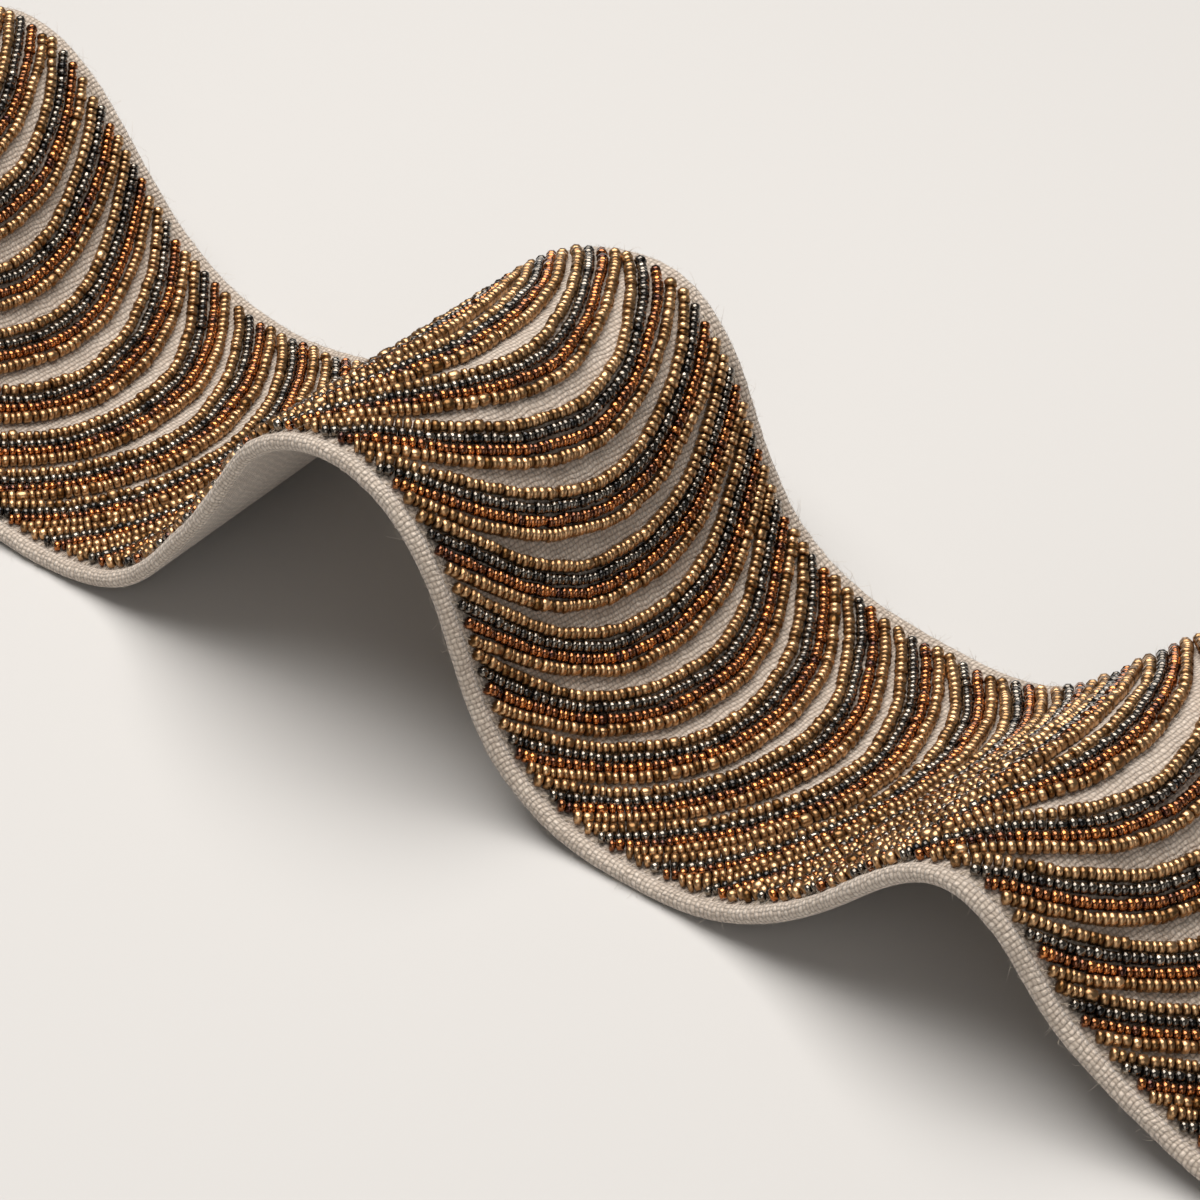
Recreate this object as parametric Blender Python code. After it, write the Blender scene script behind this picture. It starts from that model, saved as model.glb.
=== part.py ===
"""A cut length of beaded tape trim: a linen tape lying in uneven waves, with sewn bands of beads.

The tape runs along +X and is TAPE_WIDTH wide along Y. Lengths are in millimetres until a mesh is made.
Places along the tape are given in pattern repeats, counted from the repeat at the foot of the main fold.
"""
import math

import bpy
import numpy as np

MM = 0.001

# The tape
TAPE_WIDTH = 75.0
TAPE_THICKNESS = 2.2            # two layers of heavy linen, turned in at both edges
EDGE_ROUND = 0.9                # how far the turned edge curves in from the side
TAPE_START = -27.8              # first and last end, in repeats
TAPE_END = 20.9
STATION_SAG = 0.07              # how far a flat facet may stand off the real curve
STATION_LONGEST = 9.0

# The bead pattern: each repeat is a band of four rows, bowed towards the tape's end
REPEAT = 10.8                   # from one band to the next, along the tape
ROWS = 4
BLACK_ROW = 1                   # the row that the repeats are counted at, the second of the four
ROW_PITCH_MIDDLE = 2.02         # from row to row on the tape's middle line
BOW = 18.0                      # how far a row's middle lies ahead of its two ends
ROW_END_INSET = 3.6             # bare linen beside each edge
END_MARGIN = 6.0                # bare linen before each cut end
WOBBLE = 0.08                   # the bands' uneven spacing, in repeats
WOBBLE_LENGTH = 13.0
WOBBLE_START = -2.5

# The bands of beads
BEAD_HEIGHT = 1.9
SEWING_GAP = 0.42               # a band lies this far off the linen
BAND_GAP = 0.32                 # between two bands where they crowd together
BAND_SHOULDER = 0.55            # the top is narrower than the foot by this much on each side
BAND_STEP = 6.2                 # length of a straight step along a band where the tape bends gently
BAND_STEP_SHORTEST = 2.6
GENTLE_BEND = 35.0              # radius of a gentle bend

# The folds: each row is a place along the tape, with the slope of the near and the far edge there
FOLD_COLUMNS = ("fold", "place", "near_slope", "far_slope")
FOLDS = (
    ("left end", -28.0, 0, 0),
    ("left landing", -26.6, 0, 0),
    ("first rise, foot", -25.2, 13, 12),
    ("first rise, middle", -23.5, 46, 45),
    ("first rise, top", -21.2, 57, 55),
    ("first crest", -19.2, 6, 0),
    ("first fall, top", -17.6, -35, -40),
    ("first fall, middle", -16.0, -51, -51),
    ("first fall, foot", -14.2, -35, -31),
    ("first trough, start", -12.4, -11, -4),
    ("first trough, end", -11.0, 0, 9),
    ("second rise, foot", -9.8, 14, 21),
    ("second rise, lower", -8.4, 43, 45),
    ("second rise, middle", -6.8, 50, 49),
    ("second rise, upper", -5.2, 55, 38),
    ("second rise, top", -4.1, 31, 19),
    ("second crest", -3.0, 5, 1),
    ("second fall, top", -1.9, -26, -40),
    ("second fall, upper", -0.6, -57, -67),
    ("second fall, middle", 1.0, -70, -56),
    ("second fall, foot", 2.6, -38, -21),
    ("second trough, start", 4.0, -6, -5),
    ("second trough, end", 5.2, 3, 0),
    ("third rise, foot", 6.6, 24, 25),
    ("third rise, middle", 8.0, 38, 43),
    ("third rise, top", 9.4, 41, 39),
    ("third crest, start", 10.2, 28, 23),
    ("third crest, end", 11.45, -28, -22),
    ("third fall, top", 12.3, -49, -45),
    ("third fall, middle", 13.6, -30, -33),
    ("third fall, foot", 15.0, -22, -23),
    ("right landing, start", 16.6, -6, -8),
    ("right landing", 18.0, 0, 0),
    ("right tail", 19.2, 0, 0),
    ("right end", 21.0, 0, 0),
)
NEAR_RESTS = (-28.0, -27.0, -11.0, 4.9, 19.6, 21.0)     # places where each edge lies on the table
FAR_RESTS = (-28.0, -27.0, -12.0, 5.0, 19.6, 21.0)
FAR_SLIP = -5.1                 # the far edge lies this far back where the near edge has x = 0

SAMPLES = np.linspace(FOLDS[0][1], FOLDS[-1][1], 4001) * REPEAT


def column(name):
    """One column of the table of folds, as numbers."""
    index = FOLD_COLUMNS.index(name)
    return np.array([row[index] for row in FOLDS], float)


def smooth_through(t, knots, values):
    """A smooth curve through a table's values: cubic pieces whose slope at a knot weighs its two sides."""
    gaps = np.diff(knots)
    rises = np.diff(values) / gaps
    slopes = np.zeros(len(knots))
    slopes[1:-1] = (rises[:-1] * gaps[1:] + rises[1:] * gaps[:-1]) / (gaps[1:] + gaps[:-1])
    i = np.clip(np.searchsorted(knots, t, side="right") - 1, 0, len(gaps) - 1)
    u = np.clip((t - knots[i]) / gaps[i], 0.0, 1.0)
    start = (2 * u**3 - 3 * u**2 + 1) * values[i] + (u**3 - 2 * u**2 + u) * gaps[i] * slopes[i]
    end = (3 * u**2 - 2 * u**3) * values[i + 1] + (u**3 - u**2) * gaps[i] * slopes[i + 1]
    return start + end


def running_total(rate):
    """The integral of a rate along the samples, starting at zero."""
    step = SAMPLES[1] - SAMPLES[0]
    return np.concatenate(([0.0], np.cumsum((rate[1:] + rate[:-1]) / 2) * step))


def edge_curve(slope_column, rests, slip):
    """One edge of the tape: its x, its height and its slope, at every sample along the tape."""
    slope = np.radians(smooth_through(SAMPLES / REPEAT, column("place"), column(slope_column)))
    x = running_total(np.cos(slope))
    x += slip - np.interp(0.0, SAMPLES, x)
    height = running_total(np.sin(slope))
    rest_at = np.array(rests) * REPEAT
    height -= np.interp(SAMPLES, rest_at, np.interp(rest_at, SAMPLES, height))
    return x, np.maximum(height, 0.0), slope


NEAR_EDGE = edge_curve("near_slope", NEAR_RESTS, 0.0)
FAR_EDGE = edge_curve("far_slope", FAR_RESTS, FAR_SLIP)


def on_tape(along, across, lift):
    """Points at a length along the tape, a distance across it and a lift off its upper face."""
    along, across, lift = np.broadcast_arrays(along, across, lift)
    share = across / TAPE_WIDTH
    near = [np.interp(along, SAMPLES, values) for values in NEAR_EDGE]
    far = [np.interp(along, SAMPLES, values) for values in FAR_EDGE]
    x, height, slope = (a + (b - a) * share for a, b in zip(near, far))
    x = x - lift * np.sin(slope)
    z = height + TAPE_THICKNESS + lift * np.cos(slope)
    return np.stack((x, across - TAPE_WIDTH / 2, z), axis=-1)


# how sharply the tape bends at each sample, as one over the radius
BEND = np.maximum(np.abs(np.gradient(NEAR_EDGE[2], SAMPLES)), np.abs(np.gradient(FAR_EDGE[2], SAMPLES)))


def stations():
    """Lengths along the tape where its flat facets meet: close together where it bends, far apart where not."""
    longest = np.minimum(np.sqrt(8 * STATION_SAG / np.maximum(BEND, 1e-6)), STATION_LONGEST)
    count_so_far = running_total(1 / longest)
    start, end = np.interp(np.array([TAPE_START, TAPE_END]) * REPEAT, SAMPLES, count_so_far)
    count = math.ceil(end - start)
    return np.interp(np.linspace(start, end, count + 1), count_so_far, SAMPLES)


def tape_outline():
    """The tape's cross-section: distance across and lift off the upper face, round from the near edge's top."""
    t, r, w = TAPE_THICKNESS, EDGE_ROUND, TAPE_WIDTH
    near = [(r, -t), (0.27 * r, -0.8 * t), (0.0, -0.5 * t), (0.27 * r, -0.2 * t), (r, 0.0)]
    top = [(w * 0.275, 0.0), (w * 0.5, 0.0), (w * 0.725, 0.0)]
    far = [(w - across, lift) for across, lift in reversed(near)]
    return np.array(near + top + far + [(w * 0.5, -t)])


def loft(sections, name):
    """A closed solid from equal rings of points, with both ends capped."""
    rings, points = sections.shape[:2]
    corner = np.arange(rings * points).reshape(rings, points)
    here, there = corner[:-1], corner[1:]
    sides = np.stack((here, there, np.roll(there, -1, axis=1), np.roll(here, -1, axis=1)), axis=-1)
    faces = sides.reshape(-1, 4).tolist()
    faces.append(corner[0].tolist())
    faces.append(corner[-1][::-1].tolist())
    mesh = bpy.data.meshes.new(name)
    mesh.from_pydata((sections.reshape(-1, 3) * MM).tolist(), [], faces)
    mesh.validate()
    mesh.update()
    return mesh


def place(mesh, name, material):
    """One node: an object of the scene, with its material and smooth shading."""
    mesh.materials.append(material)
    mesh.shade_smooth()
    mesh.set_sharp_from_angle(angle=math.radians(40))
    node = bpy.data.objects.new(name, mesh)
    bpy.context.scene.collection.objects.link(node)
    return node


def finish(name, colour, roughness, metallic):
    """A plain material of the piece's colour."""
    material = bpy.data.materials.new(name)
    material.use_nodes = True
    shader = material.node_tree.nodes["Principled BSDF"]
    shader.inputs["Base Color"].default_value = (*colour, 1.0)
    shader.inputs["Roughness"].default_value = roughness
    shader.inputs["Metallic"].default_value = metallic
    return material


def spaced(repeat):
    """A place along the tape in repeats, with the hand-sewn unevenness of their spacing."""
    return repeat + WOBBLE * np.sin(2 * math.pi * (repeat - WOBBLE_START) / WOBBLE_LENGTH)


def row_path(repeat, row, across):
    """How far along the tape a row lies: a parabola across the width.

    The rows lie a bead apart on the middle line and a quarter of a repeat apart at the two edges.
    """
    half_width = TAPE_WIDTH / 2 - ROW_END_INSET
    side = ((across - TAPE_WIDTH / 2) / half_width) ** 2
    middle = REPEAT * spaced(repeat) + BOW + row * ROW_PITCH_MIDDLE
    edge = REPEAT * spaced(repeat + row / ROWS)
    return middle * (1 - side) + edge * side


def band_sections(repeat, low, high):
    """The rings of one band between two distances across the tape: a low bar with a narrower top."""
    first, last = -0.5 - BLACK_ROW, ROWS - 0.5 - BLACK_ROW
    reach = row_path(repeat, np.array([first, last]), np.array([low, TAPE_WIDTH / 2]))
    sharpest = max(BEND[(SAMPLES > reach[0]) & (SAMPLES < reach[1])].max(), 1 / GENTLE_BEND)
    step = BAND_STEP * (1 / (sharpest * GENTLE_BEND)) ** 0.8
    steps = math.ceil((high - low) * 1.17 / max(step, BAND_STEP_SHORTEST))
    across = np.linspace(low, high, steps + 1)[:, None]
    half_gap = BAND_GAP * 0.75 / REPEAT * ROWS
    shoulder = BAND_SHOULDER / ROW_PITCH_MIDDLE
    foot = np.linspace(first + half_gap, last - half_gap, 4)
    crown = np.array([foot[-1] - shoulder, foot[0] + shoulder])
    rows = np.concatenate((foot, crown))[None, :]
    lift = np.array([SEWING_GAP] * 4 + [BEAD_HEIGHT] * 2)[None, :]
    return on_tape(row_path(repeat, rows, across), across, lift)


def band_spans():
    """Each band's repeat and the stretch across the tape that it fills; a cut end leaves only part of some."""
    centre = TAPE_WIDTH / 2
    half_width = centre - ROW_END_INSET
    band_middle = (ROWS - 1) / 2 - BLACK_ROW
    half_band = ROWS * ROW_PITCH_MIDDLE / 2
    start = TAPE_START * REPEAT + END_MARGIN + half_band
    end = TAPE_END * REPEAT - END_MARGIN - half_band
    spans = []
    for repeat in range(math.floor(TAPE_START) - 1, math.ceil(TAPE_END) + 1):
        tip = float(row_path(repeat, band_middle, centre))
        foot = float(row_path(repeat, band_middle, ROW_END_INSET))
        if foot >= start and tip <= end:
            spans.append((repeat, ROW_END_INSET, TAPE_WIDTH - ROW_END_INSET))
        elif foot < start < tip - 2.0:
            reach = half_width * math.sqrt((tip - start) / (tip - foot))
            spans.append((repeat, centre - reach, centre + reach))
        elif foot < end - 5.0 and tip > end:
            reach = half_width * math.sqrt((tip - end) / (tip - foot))
            spans.append((repeat, ROW_END_INSET, centre - reach))
            spans.append((repeat, centre + reach, TAPE_WIDTH - ROW_END_INSET))
    return spans


def build():
    for old in list(bpy.data.objects):
        bpy.data.objects.remove(old, do_unlink=True)

    linen = finish("linen", (0.45, 0.38, 0.31), 0.9, 0.0)
    beads = finish("beads", (0.42, 0.26, 0.10), 0.35, 0.8)

    across, lift = tape_outline().T
    tape_points = on_tape(stations()[:, None], across[None, :], lift[None, :])
    centre = (tape_points[..., 0].min() + tape_points[..., 0].max()) / 2
    to_origin = np.array((-centre, 0.0, 0.0))
    tape = place(loft(tape_points + to_origin, "linen_tape"), "linen_tape", linen)

    for number, (repeat, low, high) in enumerate(band_spans(), start=1):
        name = f"bead_band_{number:02d}"
        mesh = loft(band_sections(repeat, low, high) + to_origin, name)
        place(mesh, name, beads).parent = tape


build()
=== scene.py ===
import math

import bpy
import numpy as np
from mathutils import Matrix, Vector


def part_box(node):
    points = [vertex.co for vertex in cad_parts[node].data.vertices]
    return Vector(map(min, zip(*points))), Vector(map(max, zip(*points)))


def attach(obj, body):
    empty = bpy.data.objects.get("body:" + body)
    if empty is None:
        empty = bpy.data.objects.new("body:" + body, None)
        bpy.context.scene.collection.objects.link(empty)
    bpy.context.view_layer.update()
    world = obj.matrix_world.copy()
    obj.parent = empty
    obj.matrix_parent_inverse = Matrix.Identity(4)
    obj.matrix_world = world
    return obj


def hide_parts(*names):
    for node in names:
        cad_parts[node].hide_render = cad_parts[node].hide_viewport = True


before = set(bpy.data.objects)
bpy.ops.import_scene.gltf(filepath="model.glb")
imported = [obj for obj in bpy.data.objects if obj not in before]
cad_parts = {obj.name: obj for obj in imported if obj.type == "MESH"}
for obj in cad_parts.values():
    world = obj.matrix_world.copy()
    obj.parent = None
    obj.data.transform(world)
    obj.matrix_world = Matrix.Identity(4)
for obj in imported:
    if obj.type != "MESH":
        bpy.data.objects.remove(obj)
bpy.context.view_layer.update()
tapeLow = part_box("linen_tape")[0]
bandNames = sorted(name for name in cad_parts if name.startswith("bead_band"))
print("frame loaded:", len(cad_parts), "nodes")

mm = 0.001      # lengths below are in mm, and the frame is in metres

# the lie of the tape; places along it are in pattern repeats
tape = {
    "width": 75.0,
    "thickness": 2.2,
    "start": -27.8,
    "end": 20.9,
    "repeat": 10.8,
    "farSlip": -5.1,        # the far edge lies this far back where the near edge has x = 0
    "nearRests": (-28.0, -27.0, -11.0, 4.9, 19.6, 21.0),   # where each edge lies on the floor
    "farRests": (-28.0, -27.0, -12.0, 5.0, 19.6, 21.0),
    "samples": 6001,        # places at which the edge curves are worked out
    "probe": 0.3,           # step from a point to its neighbours, for the directions there
}

# fold, place, slope of the near edge and of the far edge in degrees
folds = (
    ("left end", -28.0, 0, 0),
    ("left landing", -26.6, 0, 0),
    ("first rise, foot", -25.2, 13, 12),
    ("first rise, middle", -23.5, 46, 45),
    ("first rise, top", -21.2, 57, 55),
    ("first crest", -19.2, 6, 0),
    ("first fall, top", -17.6, -35, -40),
    ("first fall, middle", -16.0, -51, -51),
    ("first fall, foot", -14.2, -35, -31),
    ("first trough, start", -12.4, -11, -4),
    ("first trough, end", -11.0, 0, 9),
    ("second rise, foot", -9.8, 14, 21),
    ("second rise, lower", -8.4, 43, 45),
    ("second rise, middle", -6.8, 50, 49),
    ("second rise, upper", -5.2, 55, 38),
    ("second rise, top", -4.1, 31, 19),
    ("second crest", -3.0, 5, 1),
    ("second fall, top", -1.9, -26, -40),
    ("second fall, upper", -0.6, -57, -67),
    ("second fall, middle", 1.0, -70, -56),
    ("second fall, foot", 2.6, -38, -21),
    ("second trough, start", 4.0, -6, -5),
    ("second trough, end", 5.2, 3, 0),
    ("third rise, foot", 6.6, 24, 25),
    ("third rise, middle", 8.0, 38, 43),
    ("third rise, top", 9.4, 41, 39),
    ("third crest, start", 10.2, 28, 23),
    ("third crest, end", 11.45, -28, -22),
    ("third fall, top", 12.3, -49, -45),
    ("third fall, middle", 13.6, -30, -33),
    ("third fall, foot", 15.0, -22, -23),
    ("right landing, start", 16.6, -6, -8),
    ("right landing", 18.0, 0, 0),
    ("right tail", 19.2, 0, 0),
    ("right end", 21.0, 0, 0),
)
foldPlaces, nearSlopes, farSlopes = np.array([row[1:] for row in folds], float).T
samples = np.linspace(foldPlaces[0], foldPlaces[-1], tape["samples"]) * tape["repeat"]


def smoothThrough(t, knots, values):
    # cubic pieces through the values; the slope at a knot weighs its two sides by their nearness
    gaps = np.diff(knots)
    rises = np.diff(values) / gaps
    slopes = np.zeros(len(knots))
    slopes[1:-1] = (rises[:-1] * gaps[1:] + rises[1:] * gaps[:-1]) / (gaps[1:] + gaps[:-1])
    i = np.clip(np.searchsorted(knots, t, side="right") - 1, 0, len(gaps) - 1)
    u = np.clip((t - knots[i]) / gaps[i], 0.0, 1.0)
    start = (2 * u**3 - 3 * u**2 + 1) * values[i] + (u**3 - 2 * u**2 + u) * gaps[i] * slopes[i]
    end = (3 * u**2 - 2 * u**3) * values[i + 1] + (u**3 - u**2) * gaps[i] * slopes[i + 1]
    return start + end


def runningTotal(rate):
    # the integral of a rate along the tape, by trapezoids
    step = samples[1] - samples[0]
    return np.concatenate(([0.0], np.cumsum((rate[1:] + rate[:-1]) / 2) * step))


def edgeCurve(slopes, rests, slip):
    # x is the integral of the slope's cosine and height that of its sine, levelled through the rests
    slope = np.radians(smoothThrough(samples / tape["repeat"], foldPlaces, slopes))
    x = runningTotal(np.cos(slope))
    x += slip - np.interp(0.0, samples, x)
    height = runningTotal(np.sin(slope))
    restAt = np.array(rests) * tape["repeat"]
    height -= np.interp(samples, restAt, np.interp(restAt, samples, height))
    return x, np.maximum(height, 0.0), slope


nearEdge = edgeCurve(nearSlopes, tape["nearRests"], 0.0)
farEdge = edgeCurve(farSlopes, tape["farRests"], tape["farSlip"])


def rawTape(along, across, lift):
    # a straight line across joins the two edge curves; lift goes along the normal of the slope there
    along, across, lift = np.broadcast_arrays(along, across, lift)
    share = across / tape["width"]
    near = [np.interp(along, samples, values) for values in nearEdge]
    far = [np.interp(along, samples, values) for values in farEdge]
    x, height, slope = (a + (b - a) * share for a, b in zip(near, far))
    x = x - lift * np.sin(slope)
    z = height + tape["thickness"] + lift * np.cos(slope)
    return np.stack((x, across - tape["width"] / 2, z), axis=-1)


# the frame's box says where the tape's first corner lies
firstEnd = rawTape(tape["start"] * tape["repeat"], np.array([0.0, tape["width"]]), 0.0)[:, 0].min()
shiftX = tapeLow[0] / mm - firstEnd


def onTape(along, across, lift):
    # points in metres, in the frame
    return (rawTape(along, across, lift) + (shiftX, 0.0, 0.0)) * mm


def unit(v):
    # each vector over its own length
    return v / np.linalg.norm(v, axis=-1, keepdims=True)


def frameOnTape(along, across, lift, heading):
    # place, heading, side and normal at each point; heading is a step (along, across) on the cloth
    d = tape["probe"]
    place = onTape(along, across, lift)
    alongStep = onTape(along + d, across, lift) - onTape(along - d, across, lift)
    acrossStep = onTape(along, across + d, lift) - onTape(along, across - d, lift)
    normal = unit(np.cross(alongStep, acrossStep))
    forward = unit(alongStep * heading[0][..., None] + acrossStep * heading[1][..., None])
    side = unit(np.cross(normal, forward))
    return place, forward, side, normal


def ripple(a, b, size, waves, rng):
    # a sum of plane waves with random headings and phases; about 1 at its highest
    total = 0.0
    for heading, phase, stretch in rng.uniform((0, 0, 0.6), (math.pi, 2 * math.pi, 1.6), (waves, 3)):
        distance = a * math.cos(heading) + b * math.sin(heading)
        total = total + np.sin(distance * 2 * math.pi / (size * stretch) + phase)
    return total / math.sqrt(waves * 2)


def ringFaces(copies, rings, sides):
    # for each copy of a form: quads from ring to ring, and a cap on the first and on the last ring
    corner = np.arange(rings * sides).reshape(rings, sides)
    here, there = corner[:-1], corner[1:]
    quads = np.stack((here, there, np.roll(there, -1, axis=1), np.roll(here, -1, axis=1)), axis=-1)
    caps = np.stack((corner[0], corner[-1][::-1]))
    offsets = (np.arange(copies) * rings * sides)[:, None, None]
    return [(quads.reshape(-1, 4) + offsets).reshape(-1, 4), (caps + offsets).reshape(-1, sides)]


def makeMesh(name, points, faces, material, body="root"):
    # faces is a list of index arrays, one for each number of corners; the piece stands at the origin and
    # rides on its body
    mesh = bpy.data.meshes.new(name)
    flatPoints = np.ascontiguousarray(points.reshape(-1, 3), dtype=np.float32)
    sizes = np.concatenate([np.full(len(f), f.shape[1]) for f in faces])
    corners = np.concatenate([f.ravel() for f in faces]).astype(np.int32)
    starts = np.concatenate(([0], np.cumsum(sizes)[:-1])).astype(np.int32)
    mesh.vertices.add(len(flatPoints))
    mesh.vertices.foreach_set("co", flatPoints.ravel())
    mesh.loops.add(len(corners))
    mesh.loops.foreach_set("vertex_index", corners)
    mesh.polygons.add(len(sizes))
    mesh.polygons.foreach_set("loop_start", starts)
    mesh.update(calc_edges=True)
    mesh.validate()
    mesh.shade_smooth()
    mesh.materials.append(material)
    piece = bpy.data.objects.new(name, mesh)
    bpy.context.scene.collection.objects.link(piece)
    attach(piece, body)
    return piece


def pointValues(piece, name, values):
    # one number for each point of the piece, read by its material
    attribute = piece.data.attributes.new(name, "FLOAT", "POINT")
    attribute.data.foreach_set("value", np.ascontiguousarray(values, dtype=np.float32).ravel())


def newMaterial(name):
    # a material with a Principled shader, and the parts of it that the functions below set up
    material = bpy.data.materials.new(name)
    material.use_nodes = True
    nodes = material.node_tree.nodes
    return material, nodes, material.node_tree.links, nodes["Principled BSDF"]


def mathNode(nodes, links, operation, first, second=None):
    # one Math node: a number is set on its socket, and another node's output is linked to it
    node = nodes.new("ShaderNodeMath")
    node.operation = operation
    for socket, value in zip(node.inputs, (first, second)):
        if isinstance(value, (int, float)):
            socket.default_value = value
        elif value is not None:
            links.new(value, socket)
    return node.outputs[0]


weaveShape = {
    # sizes are in yarns, and heights are shares of the leading yarns' height
    "driftScale": 0.16,         # the noise that leads the yarns astray
    "driftDetail": 4.0,
    "leading": 1.0,             # height of the yarns that run across the tape
    "lower": 0.56,              # and of those that run along it
    "roundness": 0.6,           # power of a yarn's profile; lower is flatter on top
    "streakStretch": 0.06,      # how fast the tone changes along a yarn, beside across it
    "streakScale": 0.9,
    "streakDetail": 2.0,
    "streakApart": 7.3,         # keeps the two sets' noises different
    "fuzzScale": 2.2,           # the fibres' noise in the height
    "fuzzDetail": 4.0,
    "fuzzDepth": 0.5,
    "gapShare": 1.45,           # a higher share leaves smaller holes of painted shade
}


def plainWeaveGroup():
    # Height: each yarn is a half round that dives under every second yarn of the other set, and the yarns
    # that run along the tape lie deeper. Yarn: a slow change of tone along each yarn. Hole shade: high in
    # the holes between yarns, where painted shade darkens the colour.
    group = bpy.data.node_groups.new("plainWeave", "ShaderNodeTree")
    for name, kind in (("Vector", "Vector"), ("Yarns per metre", "Vector"), ("Unevenness", "Float")):
        group.interface.new_socket(name, in_out="INPUT", socket_type="NodeSocket" + kind)
    for name in ("Height", "Yarn", "Hole shade"):
        group.interface.new_socket(name, in_out="OUTPUT", socket_type="NodeSocketFloat")
    nodes, links = group.nodes, group.links
    source, sink = nodes.new("NodeGroupInput"), nodes.new("NodeGroupOutput")

    scaled = nodes.new("ShaderNodeVectorMath")
    scaled.operation = "MULTIPLY"
    links.new(source.outputs["Vector"], scaled.inputs[0])
    links.new(source.outputs["Yarns per metre"], scaled.inputs[1])
    drift = nodes.new("ShaderNodeTexNoise")
    drift.inputs["Scale"].default_value = weaveShape["driftScale"]
    drift.inputs["Detail"].default_value = weaveShape["driftDetail"]
    links.new(scaled.outputs[0], drift.inputs["Vector"])
    centred = nodes.new("ShaderNodeVectorMath")
    centred.operation = "SUBTRACT"
    centred.inputs[1].default_value = (0.5, 0.5, 0.5)
    links.new(drift.outputs["Color"], centred.inputs[0])
    pushed = nodes.new("ShaderNodeVectorMath")
    pushed.operation = "SCALE"
    links.new(centred.outputs[0], pushed.inputs[0])
    links.new(source.outputs["Unevenness"], pushed.inputs["Scale"])
    moved = nodes.new("ShaderNodeVectorMath")
    links.new(scaled.outputs[0], moved.inputs[0])
    links.new(pushed.outputs[0], moved.inputs[1])
    parts = nodes.new("ShaderNodeSeparateXYZ")
    links.new(moved.outputs[0], parts.inputs[0])

    heights = []
    for this, other, size in ((0, 1, weaveShape["leading"]), (1, 0, weaveShape["lower"])):
        a, b = parts.outputs[this], parts.outputs[other]
        number = mathNode(nodes, links, "FLOOR", a)
        turn = mathNode(nodes, links, "SINE", mathNode(nodes, links, "MULTIPLY", a, math.pi))
        across = mathNode(nodes, links, "ABSOLUTE", turn)
        counted = mathNode(nodes, links, "ADD", number, float(this))
        flip = mathNode(nodes, links, "MULTIPLY", counted, math.pi)
        phase = mathNode(nodes, links, "ADD", mathNode(nodes, links, "MULTIPLY", b, math.pi), flip)
        wave = mathNode(nodes, links, "SINE", phase)
        rise = mathNode(nodes, links, "ADD", mathNode(nodes, links, "MULTIPLY", wave, 0.5), 0.5)
        profile = mathNode(nodes, links, "POWER", across, weaveShape["roundness"])
        rounded = mathNode(nodes, links, "MULTIPLY", profile, size)
        heights.append(mathNode(nodes, links, "MULTIPLY", rounded, rise))
    height = mathNode(nodes, links, "MAXIMUM", heights[0], heights[1])

    tones = []
    for this, other in ((0, 1), (1, 0)):
        along = nodes.new("ShaderNodeCombineXYZ")
        links.new(mathNode(nodes, links, "FLOOR", parts.outputs[this]), along.inputs[0])
        stretched = mathNode(nodes, links, "MULTIPLY", parts.outputs[other], weaveShape["streakStretch"])
        links.new(stretched, along.inputs[1])
        along.inputs[2].default_value = weaveShape["streakApart"] * (this + 1)
        streak = nodes.new("ShaderNodeTexNoise")
        streak.inputs["Scale"].default_value = weaveShape["streakScale"]
        streak.inputs["Detail"].default_value = weaveShape["streakDetail"]
        links.new(along.outputs[0], streak.inputs["Vector"])
        tones.append(streak.outputs["Fac"])
    yarn = mathNode(nodes, links, "MULTIPLY", mathNode(nodes, links, "ADD", tones[0], tones[1]), 0.5)
    fuzz = nodes.new("ShaderNodeTexNoise")
    fuzz.inputs["Scale"].default_value = weaveShape["fuzzScale"]
    fuzz.inputs["Detail"].default_value = weaveShape["fuzzDetail"]
    links.new(moved.outputs[0], fuzz.inputs["Vector"])
    rough = mathNode(nodes, links, "SUBTRACT", fuzz.outputs["Fac"], 0.5)
    rough = mathNode(nodes, links, "MULTIPLY", rough, weaveShape["fuzzDepth"])
    # the holes between yarns, where the colour is darkened: painted shade
    gap = mathNode(nodes, links, "MULTIPLY", height, weaveShape["gapShare"])
    gap = mathNode(nodes, links, "SUBTRACT", 1.0, gap)
    links.new(mathNode(nodes, links, "ADD", height, rough), sink.inputs["Height"])
    links.new(yarn, sink.inputs["Yarn"])
    links.new(mathNode(nodes, links, "MAXIMUM", gap, 0.0), sink.inputs["Hole shade"])
    return group


def mixColours(nodes, links, factor, first, second):
    # first * (1 - factor) + second * factor; inputs 0, 6 and 7 are the factor and the two colours
    node = nodes.new("ShaderNodeMix")
    node.data_type = "RGBA"
    for socket, value in zip((node.inputs[0], node.inputs[6], node.inputs[7]), (factor, first, second)):
        if isinstance(value, tuple):
            socket.default_value = (*value, 1.0)
        elif isinstance(value, float):
            socket.default_value = value
        else:
            links.new(value, socket)
    return node.outputs[2]


linenLook = {
    "light": (0.77, 0.670, 0.570),
    "dark": (0.54, 0.450, 0.370),
    # painted shade for the holes between yarns
    "gap": (0.20, 0.156, 0.118),
    "yarnsPerMetre": (1250.0, 1450.0, 1.0),     # side by side along the tape, and across it
    "unevenness": 2.0,                          # how far the yarns stray, in yarns
    "weaveDepth": 0.00032,                      # metres
    "toneRange": (0.3, 0.7),
    "roughness": 0.92,
    "specular": 0.15,
    "sheen": 0.35,
    "sheenRoughness": 0.5,
}


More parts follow.
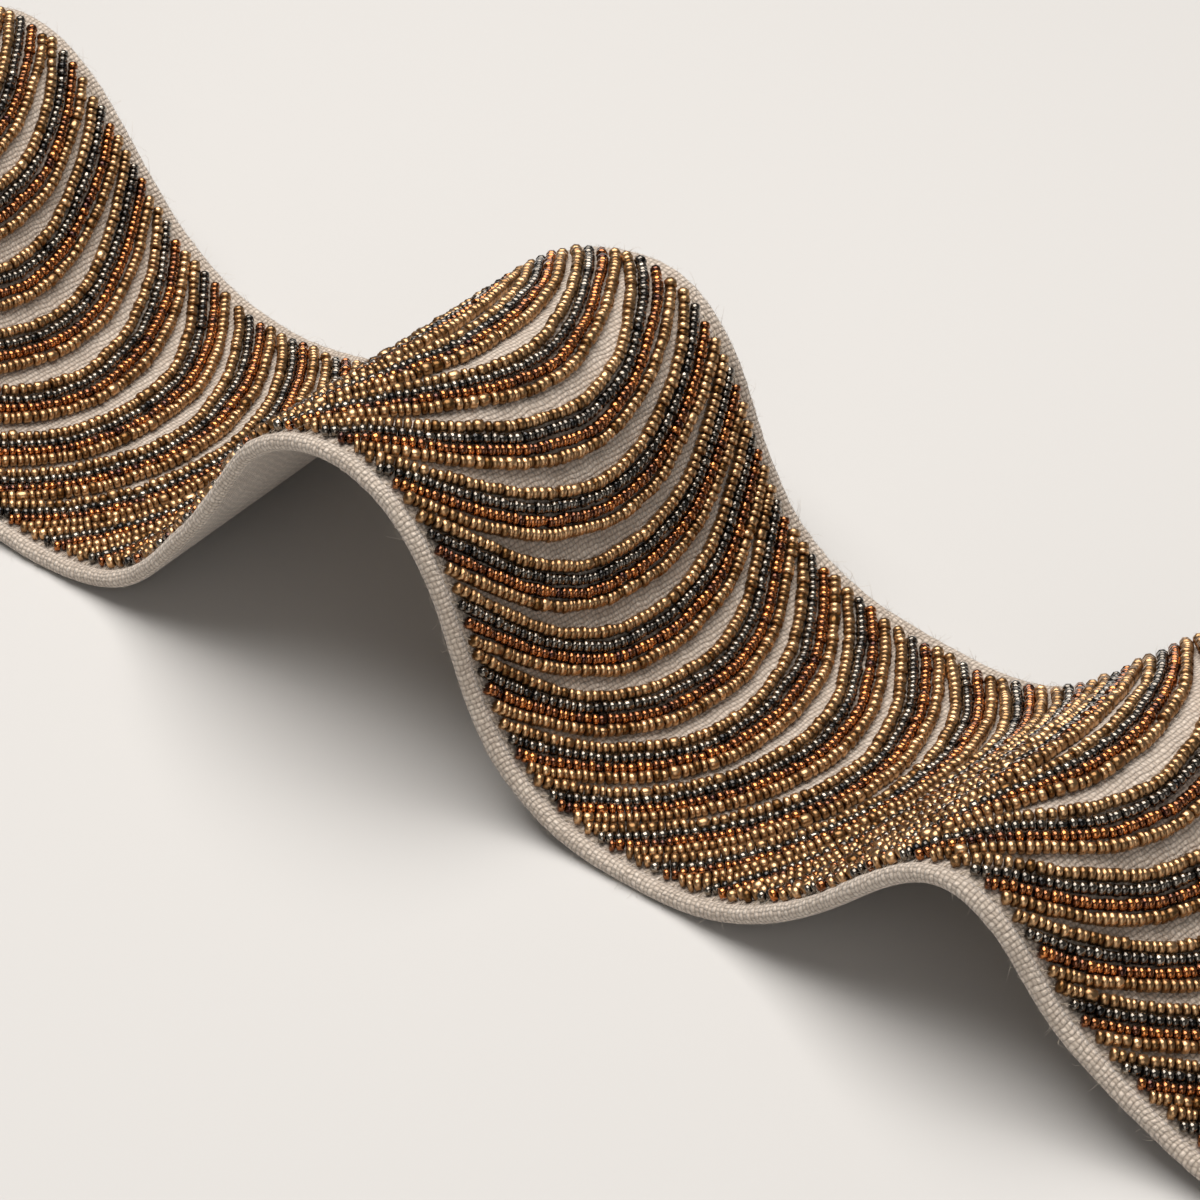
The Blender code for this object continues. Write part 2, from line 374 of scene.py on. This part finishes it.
def linenMaterial():
    # colour: from dark to light by the yarn's tone, then to painted shade in the holes between yarns; the
    # height is bump
    material, nodes, links, shader = newMaterial("greige linen")
    uv = nodes.new("ShaderNodeUVMap")
    uv.uv_map = "cloth"
    weave = nodes.new("ShaderNodeGroup")
    weave.node_tree = weaveGroup
    weave.inputs["Yarns per metre"].default_value = linenLook["yarnsPerMetre"]
    weave.inputs["Unevenness"].default_value = linenLook["unevenness"]
    links.new(uv.outputs[0], weave.inputs["Vector"])
    spread = nodes.new("ShaderNodeMapRange")
    spread.inputs["From Min"].default_value = linenLook["toneRange"][0]
    spread.inputs["From Max"].default_value = linenLook["toneRange"][1]
    links.new(weave.outputs["Yarn"], spread.inputs["Value"])
    body = mixColours(nodes, links, spread.outputs[0], linenLook["dark"], linenLook["light"])
    colour = mixColours(nodes, links, weave.outputs["Hole shade"], body, linenLook["gap"])
    links.new(colour, shader.inputs["Base Color"])
    bump = nodes.new("ShaderNodeBump")
    bump.inputs["Distance"].default_value = linenLook["weaveDepth"]
    links.new(weave.outputs["Height"], bump.inputs["Height"])
    links.new(bump.outputs[0], shader.inputs["Normal"])
    shader.inputs["Roughness"].default_value = linenLook["roughness"]
    shader.inputs["Specular IOR Level"].default_value = linenLook["specular"]
    shader.inputs["Sheen Weight"].default_value = linenLook["sheen"]
    shader.inputs["Sheen Roughness"].default_value = linenLook["sheenRoughness"]
    return material


glazeShape = {
    "cloudScale": 1400.0,           # to a metre
    "cloudDetail": 3.0,
    "wearRange": (0.35, 0.75),      # of the noise
    "wearShares": (0.85, 1.35),     # of the roughness, where the glaze is least and most worn
    "coatRoughness": 0.05,
}


def beadGlazeGroup():
    # Color: from dark to light by the bead's tone (low at the bead ends as painted shade in the grooves),
    # mottled by a fine noise that, where strong, paints glints. Wear: where it is duller.
    group = bpy.data.node_groups.new("beadGlaze", "ShaderNodeTree")
    for name, kind in (("Tone", "Float"), ("Dark", "Color"), ("Light", "Color"), ("Mottle and glints", "Float")):
        group.interface.new_socket(name, in_out="INPUT", socket_type="NodeSocket" + kind)
    group.interface.new_socket("Color", in_out="OUTPUT", socket_type="NodeSocketColor")
    group.interface.new_socket("Wear", in_out="OUTPUT", socket_type="NodeSocketFloat")
    nodes, links = group.nodes, group.links
    source, sink = nodes.new("NodeGroupInput"), nodes.new("NodeGroupOutput")
    place = nodes.new("ShaderNodeTexCoord")
    cloud = nodes.new("ShaderNodeTexNoise")
    cloud.inputs["Scale"].default_value = glazeShape["cloudScale"]
    cloud.inputs["Detail"].default_value = glazeShape["cloudDetail"]
    links.new(place.outputs["Object"], cloud.inputs["Vector"])
    # the noise mottles the tone; where its share is strong, as on the copper and black beads, it paints
    # glints
    offset = mathNode(nodes, links, "SUBTRACT", cloud.outputs["Fac"], 0.5)
    offset = mathNode(nodes, links, "MULTIPLY", offset, source.outputs["Mottle and glints"])
    mixed = mathNode(nodes, links, "ADD", source.outputs["Tone"], offset)
    limited = nodes.new("ShaderNodeClamp")
    links.new(mixed, limited.inputs["Value"])
    dark, light = source.outputs["Dark"], source.outputs["Light"]
    links.new(mixColours(nodes, links, limited.outputs[0], dark, light), sink.inputs["Color"])
    links.new(cloud.outputs["Fac"], sink.inputs["Wear"])
    return group


# the noise share: a light mottle on the gold beads, and painted glints on the copper and black beads,
# where it is strong
beadLooks = {
    "gold": {
        "dark": (0.15, 0.074, 0.025), "light": (0.74, 0.460, 0.240), "mottleAndGlints": 0.25,
        "metallic": 0.95, "roughness": 0.31, "coat": 0.0,
    },
    "black": {
        "dark": (0.010, 0.009, 0.009), "light": (0.31, 0.268, 0.218), "mottleAndGlints": 0.7,
        "metallic": 0.95, "roughness": 0.10, "coat": 0.5,
    },
    "copper": {
        "dark": (0.045, 0.008, 0.002), "light": (0.64, 0.222, 0.050), "mottleAndGlints": 1.1,
        "metallic": 0.95, "roughness": 0.12, "coat": 0.6,
    },
}


def beadMaterial(colour):
    # colour from the glaze group by the bead's tone, which is low at the bead ends as painted shade in the
    # grooves; roughness rises with the wear
    look = beadLooks[colour]
    material, nodes, links, shader = newMaterial(colour + " beads")
    tone = nodes.new("ShaderNodeAttribute")
    tone.attribute_name = "tone"
    glaze = nodes.new("ShaderNodeGroup")
    glaze.node_tree = glazeGroup
    glaze.inputs["Dark"].default_value = (*look["dark"], 1.0)
    glaze.inputs["Light"].default_value = (*look["light"], 1.0)
    glaze.inputs["Mottle and glints"].default_value = look["mottleAndGlints"]
    links.new(tone.outputs["Fac"], glaze.inputs["Tone"])
    links.new(glaze.outputs["Color"], shader.inputs["Base Color"])
    dulled = nodes.new("ShaderNodeMapRange")
    for end, wear, share in zip(("Min", "Max"), glazeShape["wearRange"], glazeShape["wearShares"]):
        dulled.inputs["From " + end].default_value = wear
        dulled.inputs["To " + end].default_value = look["roughness"] * share
    links.new(glaze.outputs["Wear"], dulled.inputs["Value"])
    links.new(dulled.outputs[0], shader.inputs["Roughness"])
    shader.inputs["Metallic"].default_value = look["metallic"]
    shader.inputs["Coat Weight"].default_value = look["coat"]
    shader.inputs["Coat Roughness"].default_value = glazeShape["coatRoughness"]
    return material


fibreLook = {
    "lint": (0.62, 0.54, 0.45),
    "thread": (0.46, 0.38, 0.29),
    "darkShare": 0.6,
    "streakScale": 900.0,
    "roughness": 0.8,
}


def fibreMaterial(name, colour):
    # a fine noise between the colour and a darker share of it
    material, nodes, links, shader = newMaterial(name)
    place = nodes.new("ShaderNodeTexCoord")
    streak = nodes.new("ShaderNodeTexNoise")
    streak.inputs["Scale"].default_value = fibreLook["streakScale"]
    links.new(place.outputs["Object"], streak.inputs["Vector"])
    darker = tuple(c * fibreLook["darkShare"] for c in colour)
    links.new(mixColours(nodes, links, streak.outputs["Fac"], darker, colour), shader.inputs["Base Color"])
    shader.inputs["Roughness"].default_value = fibreLook["roughness"]
    return material


weaveGroup = plainWeaveGroup()
glazeGroup = beadGlazeGroup()
linen = linenMaterial()
lint = fibreMaterial("linen lint", fibreLook["lint"])
thread = fibreMaterial("sewing thread", fibreLook["thread"])
print("materials made")

# the linen tape, its long edges turned in to a round rim
cloth = {
    "alongStep": 1.05,
    "acrossStep": 1.25,
    "underStep": 3.0,
    "rimRadius": 1.34,      # the turned edge is a round rim
    "rimPoints": 13,
    "rimFoot": 0.55,        # beside the rim the cloth dips in a narrow groove
    "rimGroove": 0.14,
    "grooveEnd": 0.3,       # share of the groove's depth where it meets the flat cloth
    "firstStep": 0.6,       # from the groove to the first line of the flat cloth
    "endPoints": 5,         # the cut ends are rounded in so many steps
    "endStart": 0.15,       # angle of the first, in radians
    "pucker": 0.10,         # height and size of the slow waves in the face
    "puckerSize": 9.0,
    "puckerWaves": 10,
    "puckerFrom": 2.2,      # they start this far from the side, and are full after another puckerOver
    "puckerOver": 2.0,
    "rimLump": 0.10,        # the rim's unevenness: short lumps and long ones
    "lumps": (
        # size, number of waves, share, how fast they change round the rim
        (3.4, 8, 1.0, 1.5),
        (17.0, 5, 0.8, 0.3),
    ),
    "lumpFrom": 1.4,        # it fades from here inwards over lumpOver
    "lumpOver": 1.2,
    "lumpAbove": 0.3,       # and starts this far above the underside
    "seed": 11,
}


def tapeOutline():
    # the cross-section, round from the near edge's underside: a circle for the rim that runs on past its
    # top down to the cloth, a groove beside it, the flat cloth, the same at the far edge, the underside
    t, r, w = tape["thickness"], cloth["rimRadius"], tape["width"]
    centre = r - t
    foot = math.pi - math.asin(-centre / r)
    turn = np.linspace(-math.pi / 2, foot, cloth["rimPoints"])
    rimAcross, rimLift = r - r * np.cos(turn), centre + r * np.sin(turn)
    grooveAcross = rimAcross[-1] + cloth["rimFoot"] * np.array((0.5, 1.0))
    grooveLift = -cloth["rimGroove"] * np.array((1.0, cloth["grooveEnd"]))
    nearAcross = np.concatenate((rimAcross, grooveAcross))
    nearLift = np.concatenate((rimLift, grooveLift))
    first = nearAcross[-1] + cloth["firstStep"]
    top = np.linspace(first, w - first, int((w - 2 * first) / cloth["acrossStep"]))
    under = np.linspace(w - r, r, int((w - 2 * r) / cloth["underStep"]))[1:-1]
    across = np.concatenate((nearAcross, top, w - nearAcross[::-1], under))
    lift = np.concatenate((nearLift, np.zeros(len(top)), nearLift[::-1], np.full(len(under), -t)))
    return across, lift


def makeTape():
    # the outline carried along the tape, which shrinks to its middle in a quarter circle at both cut ends;
    # slow ripples pucker the face, and others make the rim uneven
    rng = np.random.default_rng(cloth["seed"])
    across, lift = tapeOutline()
    r, half = cloth["rimRadius"], -tape["thickness"] / 2
    first, last = tape["start"] * tape["repeat"], tape["end"] * tape["repeat"]
    rounding = r * (1 - np.cos(np.linspace(cloth["endStart"], math.pi / 2, cloth["endPoints"])))
    inner = np.linspace(first + r, last - r, int((last - first) / cloth["alongStep"]))
    along = np.concatenate((first + rounding[:-1], inner, (last - rounding[:-1])[::-1]))
    fromEnd = np.clip(np.minimum(along - first, last - along) / r, 0.0, 1.0)
    fullness = np.sqrt(1 - (1 - fromEnd) ** 2)[:, None]

    s, v = along[:, None], across[None, :]
    fromSide = np.minimum(v, tape["width"] - v)
    above = lift[None, :]
    face = (above > half) * np.clip((fromSide - cloth["puckerFrom"]) / cloth["puckerOver"], 0.0, 1.0)
    rim = np.clip(1 - (fromSide - cloth["lumpFrom"]) / cloth["lumpOver"], 0.0, 1.0)
    rim = rim * (above > -tape["thickness"] + cloth["lumpAbove"])
    pucker = cloth["pucker"] * ripple(s, v, cloth["puckerSize"], cloth["puckerWaves"], rng) * face
    lump = 0.0
    for size, waves, share, turning in cloth["lumps"]:
        lump = lump + share * ripple(s, above * turning, size, waves, rng)
    lump = cloth["rimLump"] * lump * rim
    outward = np.where(v < tape["width"] / 2, -1.0, 1.0) * np.clip(1 - fromSide / r, 0.0, 1.0)
    liftHere = half + (above + pucker + lump * np.clip(fromSide / r, 0.0, 1.0) - half) * fullness
    points = onTape(s, v + lump * outward, liftHere)

    rings, count = points.shape[:2]
    piece = makeMesh("linenTape", points, ringFaces(1, rings, count), linen)

    # the cloth map: metres along the tape, and metres round its cross-section
    girth = np.concatenate(([0.0], np.cumsum(np.hypot(np.diff(across), np.diff(lift)))))
    girth = np.append(girth, girth[-1] + np.hypot(across[0] - across[-1], lift[0] - lift[-1]))
    u = np.broadcast_to(along[:, None], (rings, count + 1)) * mm
    w = np.broadcast_to(girth[None, :], (rings, count + 1)) * mm
    grid = np.stack((u, w), axis=-1)
    quadMap = np.stack((grid[:-1, :-1], grid[1:, :-1], grid[1:, 1:], grid[:-1, 1:]), axis=2)
    capMap = np.concatenate((grid[0, :-1], grid[-1, :-1][::-1]))
    uvMap = piece.data.uv_layers.new(name="cloth")
    places = np.concatenate((quadMap.reshape(-1, 2), capMap))
    uvMap.data.foreach_set("uv", places.astype(np.float32).ravel())
    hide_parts("linen_tape")
    return piece


tapePiece = makeTape()
print("tape made:", len(tapePiece.data.polygons), "faces")

# the rows of beads
pattern = {
    "rows": ("gold", "black", "copper", "gold"),
    "blackRow": 1,              # the repeats are counted at the black row
    "pitchMiddle": 2.02,        # from row to row on the tape's middle line
    "bow": 18.0,                # how far a row's middle lies ahead of its ends
    "inset": 3.6,               # the bow is measured between these places
    "rowEnd": 2.75,             # the first bead's end comes as near the side as this
    "endMargin": 6.0,           # bare linen before each cut end
    "wobble": 0.08,             # the bands' uneven spacing, in repeats
    "wobbleLength": 13.0,
    "wobbleStart": -2.5,
    "bandWave": 0.18,           # a band's rows stray together
    "rowWave": 0.10,            # and each a little by itself
    "waves": ((31.0, 1.0), (13.0, 0.5), (5.5, 0.22)),       # length and share of each
    "endStray": 0.7,            # how unevenly the rows start and end
    "parted": (-11.5, 4.5),     # the repeats at which the tape's first, second and third wave part
    "seed": 5,
}
beadSizes = {
    "gold": {"length": 1.20, "radius": 0.96, "longShare": 0.08, "longBy": 1.55},
    "black": {"length": 1.24, "radius": 0.88, "longShare": 0.03, "longBy": 1.3},
    "copper": {"length": 1.17, "radius": 0.90, "longShare": 0.03, "longBy": 1.3},
}
beadShape = {
    # place along, share of the radius, share of the tone; the share of 0 at the end rings paints shade
    # into the grooves between beads
    "profile": ((-0.48, 0.48, 0.0), (-0.28, 1.0, 1.0), (0.28, 1.0, 1.0), (0.48, 0.48, 0.0)),
    "sides": 8,
    "sizeSpread": 0.06,
    "sizeLimits": (0.85, 1.1),
    "lengthSpread": 0.14,
    "lengthLimits": (0.72, 1.35),
    "tone": 0.5,
    "toneSpread": 0.24,
    "jog": 0.045,               # strays from the row and from the cloth
    "tilt": 0.085,              # turns from the row's heading, in radians
    "sink": 0.04,               # how deep a bead presses into the cloth
    "probe": 0.35,              # step across the tape for a row's heading
}


def spaced(repeat):
    # a slow sine along the tape shifts each repeat
    turn = 2 * math.pi * (repeat - pattern["wobbleStart"]) / pattern["wobbleLength"]
    return repeat + pattern["wobble"] * np.sin(turn)


def rowPath(repeat, row, across):
    # a parabola across the width; rows are a bead apart in its middle, and a quarter repeat at the edges
    half = tape["width"] / 2 - pattern["inset"]
    side = ((across - tape["width"] / 2) / half) ** 2
    middle = tape["repeat"] * spaced(repeat) + pattern["bow"] + row * pattern["pitchMiddle"]
    edge = tape["repeat"] * spaced(repeat + row / len(pattern["rows"]))
    return middle * (1 - side) + edge * side


def strayed(across, phases, size):
    # slow sideways waves of a row: three sines with each row's own phases
    waves = sum(np.sin(across * 2 * math.pi / length + phases[:, i:i + 1]) * share
                for i, (length, share) in enumerate(pattern["waves"]))
    return waves * size


def makeRows():
    # every row of the tape as arrays: its repeat, its number in the band, and its own waves
    rng = np.random.default_rng(pattern["seed"])
    repeats = np.arange(math.floor(tape["start"]) - 1, math.ceil(tape["end"]) + 1)
    waves, count = len(pattern["waves"]), len(pattern["rows"])
    bandPhases = rng.uniform(0, 2 * math.pi, (len(repeats), waves))
    return {
        "repeat": np.repeat(repeats, count)[:, None].astype(float),
        "row": np.tile(np.arange(count) - pattern["blackRow"], len(repeats))[:, None].astype(float),
        "colour": np.tile(np.array(pattern["rows"]), len(repeats)),
        "bandPhases": np.repeat(bandPhases, count, axis=0),
        "rowPhases": rng.uniform(0, 2 * math.pi, (len(repeats) * count, waves)),
    }


rowSet = makeRows()


def rowAlong(rows, across):
    # the row's parabola, with its band's waves and its own
    together = strayed(across, rows["bandPhases"], pattern["bandWave"])
    alone = strayed(across, rows["rowPhases"], pattern["rowWave"])
    return rowPath(rows["repeat"], rows["row"], across) + (together + alone)


def onCloth(along):
    # inside the bare margins beside the two cut ends
    first = tape["start"] * tape["repeat"] + pattern["endMargin"]
    last = tape["end"] * tape["repeat"] - pattern["endMargin"]
    return (along > first) & (along < last)


# length along a row from the near edge, the same for every row: the arc length of the parabola
rowAcross = np.linspace(pattern["rowEnd"], tape["width"] - pattern["rowEnd"], 400)
rowSide = (rowAcross - tape["width"] / 2) / (tape["width"] / 2 - pattern["inset"])
rowBow = pattern["bow"] * (1 - rowSide ** 2)
rowLength = np.concatenate(([0.0], np.cumsum(np.hypot(np.diff(rowAcross), np.diff(rowBow)))))


def beadsOf(colour):
    # beads strung end to end on each row of one colour: each one's middle is the running total of the
    # uneven lengths, and the row's curve there gives its place and heading
    size = beadSizes[colour]
    rng = np.random.default_rng(pattern["seed"] + len(colour))      # each colour draws numbers of its own
    chosen = rowSet["colour"] == colour
    rows = {key: values[chosen] for key, values in rowSet.items()}
    most = int(rowLength[-1] / (size["length"] * 0.8))      # more than any row holds
    shape = (chosen.sum(), most)
    lengths = rng.normal(1.0, beadShape["lengthSpread"], shape)
    lengths = size["length"] * np.clip(lengths, *beadShape["lengthLimits"])
    lengths = np.where(rng.random(shape) < size["longShare"], lengths * size["longBy"], lengths)
    starts = rng.uniform(0, pattern["endStray"], (shape[0], 1))
    ends = rowLength[-1] - rng.uniform(0, pattern["endStray"], (shape[0], 1))
    middles = starts + np.cumsum(lengths, axis=1) - lengths / 2
    across = np.interp(middles, rowLength, rowAcross)
    along = rowAlong(rows, across)
    keep = (middles + lengths / 2 < ends) & onCloth(along)
    d = beadShape["probe"]
    heading = (rowAlong(rows, across + d) - rowAlong(rows, across - d), np.full(shape, 2 * d))
    band = np.broadcast_to(rows["repeat"], shape)
    count = keep.sum()
    sizes = np.clip(rng.normal(1.0, beadShape["sizeSpread"], count), *beadShape["sizeLimits"])
    return {
        "along": along[keep], "across": across[keep], "length": lengths[keep], "band": band[keep],
        "heading": (heading[0][keep], heading[1][keep]),
        "radius": size["radius"] * sizes,
        "tone": np.clip(rng.normal(beadShape["tone"], beadShape["toneSpread"], count), 0.0, 1.0),
        "jog": rng.normal(0.0, beadShape["jog"], (count, 2)),
        "tilt": rng.normal(0.0, beadShape["tilt"], (count, 2)),
    }


def makeBeads(name, beads, material):
    # each bead is its profile turned about the thread:
    # place + forward * along + (normal * cos + side * sin) * radius
    profile = np.array(beadShape["profile"])
    turns = np.arange(beadShape["sides"]) * 2 * math.pi / beadShape["sides"]
    lift = beads["radius"] - beadShape["sink"] + beads["jog"][:, 1]
    along = beads["along"] + beads["jog"][:, 0]
    place, forward, side, normal = frameOnTape(along, beads["across"], lift, beads["heading"])
    forward = unit(forward + side * beads["tilt"][:, :1] + normal * beads["tilt"][:, 1:])
    side = unit(np.cross(normal, forward))
    normal = np.cross(forward, side)
    cosines, sines = np.cos(turns)[None, :, None], np.sin(turns)[None, :, None]
    radial = normal[:, None, :] * cosines + side[:, None, :] * sines
    radii = beads["radius"][:, None] * profile[None, :, 1] * mm
    steps = beads["length"][:, None] * profile[None, :, 0] * mm
    points = (place[:, None, None, :] + forward[:, None, None, :] * steps[:, :, None, None]
              + radial[:, None, :, :] * radii[:, :, None, None])
    piece = makeMesh(name, points, ringFaces(len(place), len(profile), beadShape["sides"]), material)
    # the end rings take the dark colour: painted shade in the grooves between beads
    tones = beads["tone"][:, None] * profile[None, :, 2]
    pointValues(piece, "tone", np.repeat(tones, beadShape["sides"], axis=1))
    return piece


# each colour's beads are three pieces, one for each wave of the tape, in place of the bands on that wave
sectionNames = ("First", "Second", "Third")
bandMiddles = np.array([(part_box(name)[0][0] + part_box(name)[1][0]) / 2 for name in bandNames])
partedAlong = np.array(pattern["parted"]) * tape["repeat"] + pattern["bow"] / 2
bandWaves = np.digitize(bandMiddles, onTape(partedAlong, tape["width"] / 2, 0.0)[:, 0])
for colour in ("gold", "black", "copper"):
    beads = beadsOf(colour)
    material = beadMaterial(colour)
    for number, section in enumerate(sectionNames):
        inside = np.digitize(beads["band"], pattern["parted"]) == number
        part = {key: (tuple(v[inside] for v in values) if isinstance(values, tuple) else values[inside])
                for key, values in beads.items()}
        piece = makeBeads(colour + "Beads" + section, part, material)
        held = [name for name, wave in zip(bandNames, bandWaves) if wave == number]
        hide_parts(*held)
    print(colour, "beads made:", len(beads["tone"]))

# the sewing thread where it shows
threadSize = {
    "radius": 0.10,
    "sides": 4,
    "steps": 6,
    "reach": 2.0,           # from its foot in the cloth to its end inside the bead
    "tail": 0.35,           # how far the foot lies outside the row's end
    "lift": 0.8,            # height inside the bead
    "steepness": 1.6,       # it is level from 1 / steepness of its reach on
    "roundness": 0.8,       # power of its rise
    "root": 0.15,           # depth of the foot in the cloth
}


def makeTubes(name, path, radius, sides, material):
    # tubes along paths [tube, step, xyz] with radii [tube, step]:
    # path + (across * cos + upward * sin) * radius
    slanted = np.array((0.31, 0.17, 0.93))      # no fibre runs quite along this
    forward = unit(np.gradient(path, axis=1))
    across = unit(np.cross(forward, slanted))
    upward = np.cross(across, forward)
    turns = np.arange(sides) * 2 * math.pi / sides
    cosines, sines = np.cos(turns)[None, None, :, None], np.sin(turns)[None, None, :, None]
    ring = across[:, :, None, :] * cosines + upward[:, :, None, :] * sines
    points = path[:, :, None, :] + ring * radius[:, :, None, None]
    tubes, steps = path.shape[:2]
    return makeMesh(name, points, ringFaces(tubes, steps, sides), material)


def makeThread():
    # the thread shows past a row's last bead at each end: it runs out of the bead and down into the cloth
    rows = {key: np.concatenate((values, values)) for key, values in rowSet.items()}
    count = len(rowSet["colour"])
    t = np.linspace(0.0, 1.0, threadSize["steps"])[None, :]
    fromSide = pattern["rowEnd"] - threadSize["tail"] + threadSize["reach"] * t
    across = np.where(np.arange(2 * count)[:, None] < count, fromSide, tape["width"] - fromSide)
    rise = np.sin(np.clip(t * threadSize["steepness"], 0.0, 1.0) * math.pi / 2) ** threadSize["roundness"]
    lift = threadSize["lift"] * rise - threadSize["root"] * (1 - t)
    along = rowAlong(rows, across)
    whole = onCloth(along).all(axis=1)
    path = onTape(along, across, lift)[whole]
    radius = np.full(path.shape[:2], threadSize["radius"] * mm)
    piece = makeTubes("sewingThread", path, radius, threadSize["sides"], thread)
    return piece


# loose fibres
lintSize = {
    "count": 4200,
    "steps": 4,
    "sides": 3,
    "shortest": 0.3,
    "longest": 2.3,
    "shortness": 2.6,           # a higher power makes more of them short
    "radius": 0.024,
    "taper": 0.6,               # share of the radius that is gone at the tip
    "angles": (-0.6, 2.2),      # round the rim, from below to its inner flank
    "curl": 1.3,                # spread of the bend, in radians
    "skew": 0.8,                # spread of the lean along the tape
    "sweep": 0.5,               # how far the bend carries it along the tape
    "flatness": 0.8,            # share of the rise that is left
    "offFloor": 0.1,            # kept this far above the floor
    "seed": 23,
}


def makeLint():
    # loose fibres that curl out of the two turned edges: each starts on the rim's circle at its angle, and
    # its heading turns by its bend as it goes
    rng = np.random.default_rng(lintSize["seed"])
    count, steps = lintSize["count"], lintSize["steps"]
    along = rng.uniform(tape["start"], tape["end"], (count, 1)) * tape["repeat"]
    farSide = rng.random((count, 1)) < 0.5
    angle = rng.uniform(*lintSize["angles"], (count, 1))
    share = rng.random((count, 1)) ** lintSize["shortness"]
    length = lintSize["shortest"] + (lintSize["longest"] - lintSize["shortest"]) * share
    t = np.linspace(0.0, 1.0, steps)[None, :]
    bend = rng.normal(0.0, lintSize["curl"], (count, 1))
    skew = rng.normal(0.0, lintSize["skew"], (count, 1))
    outAngle = angle + bend * t
    reach = length * t
    r = cloth["rimRadius"]
    out = r - r * np.cos(angle) - reach * np.cos(outAngle)
    across = np.where(farSide, tape["width"] - out, out)
    lift = r - tape["thickness"] + r * np.sin(angle) + reach * np.sin(outAngle) * lintSize["flatness"]
    sideways = along + length * skew * t + length * bend * lintSize["sweep"] * t**2
    path = onTape(sideways, across, lift)
    path[..., 2] = np.maximum(path[..., 2], lintSize["offFloor"] * mm)
    radius = lintSize["radius"] * mm * (1 - lintSize["taper"] * t) * np.ones((count, 1))
    piece = makeTubes("edgeLint", path, radius, lintSize["sides"], lint)
    return piece


threadPiece = makeThread()
lintPiece = makeLint()
print("thread and lint made")

# floor, light and camera; sizes and places here are in metres
studio = {
    "floorSize": 6.0,
    "floor": (0.56, 0.552, 0.54),
    "floorRoughness": 0.9,
    "world": (1.0, 0.99, 0.975),
    "worldStrength": 0.12,
    "lights": (
        # name, place, aim, size, watts, colour
        ("key", (-0.16, 0.06, 1.0), (0.0, 0.0, 0.02), 1.00, 18.0, (1.0, 0.965, 0.93)),
        ("fill", (0.75, -0.55, 0.45), (0.0, 0.0, 0.02), 0.7, 2.0, (1.0, 0.985, 0.97)),
    ),
}


def makeFloor():
    # one square at height 0
    material, nodes, links, shader = newMaterial("plain floor")
    shader.inputs["Base Color"].default_value = (*studio["floor"], 1.0)
    shader.inputs["Roughness"].default_value = studio["floorRoughness"]
    half = studio["floorSize"] / 2
    corners = [(-half, -half, 0.0), (half, -half, 0.0), (half, half, 0.0), (-half, half, 0.0)]
    mesh = bpy.data.meshes.new("floor")
    mesh.from_pydata(corners, [], [(0, 1, 2, 3)])
    mesh.materials.append(material)
    floor = bpy.data.objects.new("floor", mesh)
    bpy.context.scene.collection.objects.link(floor)


def standing(right, up, back, place):
    # the matrix of an object with these axes at this place; it looks along -back
    matrix = np.eye(4)
    matrix[:3] = np.stack((right, up, back, place), axis=1)
    return Matrix(matrix.tolist())


def makeLights():
    # square lamps, each turned so that its back points away from its aim, and a faint even world
    for name, place, aim, size, watts, colour in studio["lights"]:
        light = bpy.data.lights.new(name, "AREA")
        light.size = size
        light.energy = watts
        light.color = colour
        back = unit(np.array(place) - np.array(aim))
        right = unit(np.cross((0.0, 0.0, 1.0), back))
        lamp = bpy.data.objects.new(name, light)
        lamp.matrix_world = standing(right, np.cross(back, right), back, place)
        bpy.context.scene.collection.objects.link(lamp)
    world = bpy.data.worlds.new("studio")
    world.use_nodes = True
    background = world.node_tree.nodes["Background"]
    background.inputs["Color"].default_value = (*studio["world"], 1.0)
    background.inputs["Strength"].default_value = studio["worldStrength"]
    bpy.context.scene.world = world


camera = {
    "place": (402.9, -428.5, 408.6),    # mm, before the shift to the frame
    "azimuth": 43.55,
    "elevation": 33.78,
    "roll": -1.28,
    "lens": 142.2,
    "sensor": 36.0,
    "clipStart": 0.01,                  # metres
}


def makeCamera():
    # azimuth and elevation give the axis from the part to the camera, and roll turns the picture about it
    az, el, roll = (math.radians(camera[key]) for key in ("azimuth", "elevation", "roll"))
    back = np.array((math.sin(az) * math.cos(el), -math.cos(az) * math.cos(el), math.sin(el)))
    level = np.array((math.cos(az), math.sin(az), 0.0))
    upright = np.cross(back, level)
    right = level * math.cos(roll) + upright * math.sin(roll)
    up = upright * math.cos(roll) - level * math.sin(roll)
    place = (np.array(camera["place"]) + (shiftX, 0.0, 0.0)) * mm
    data = bpy.data.cameras.new("photo view")
    data.lens = camera["lens"]
    data.sensor_width = camera["sensor"]
    data.clip_start = camera["clipStart"]
    view = bpy.data.objects.new("photo view", data)
    view.matrix_world = standing(right, up, back, place)
    bpy.context.scene.collection.objects.link(view)
    bpy.context.scene.camera = view


makeFloor()
makeLights()
makeCamera()
bpy.context.scene.view_settings.view_transform = "Standard"
print("stage set")
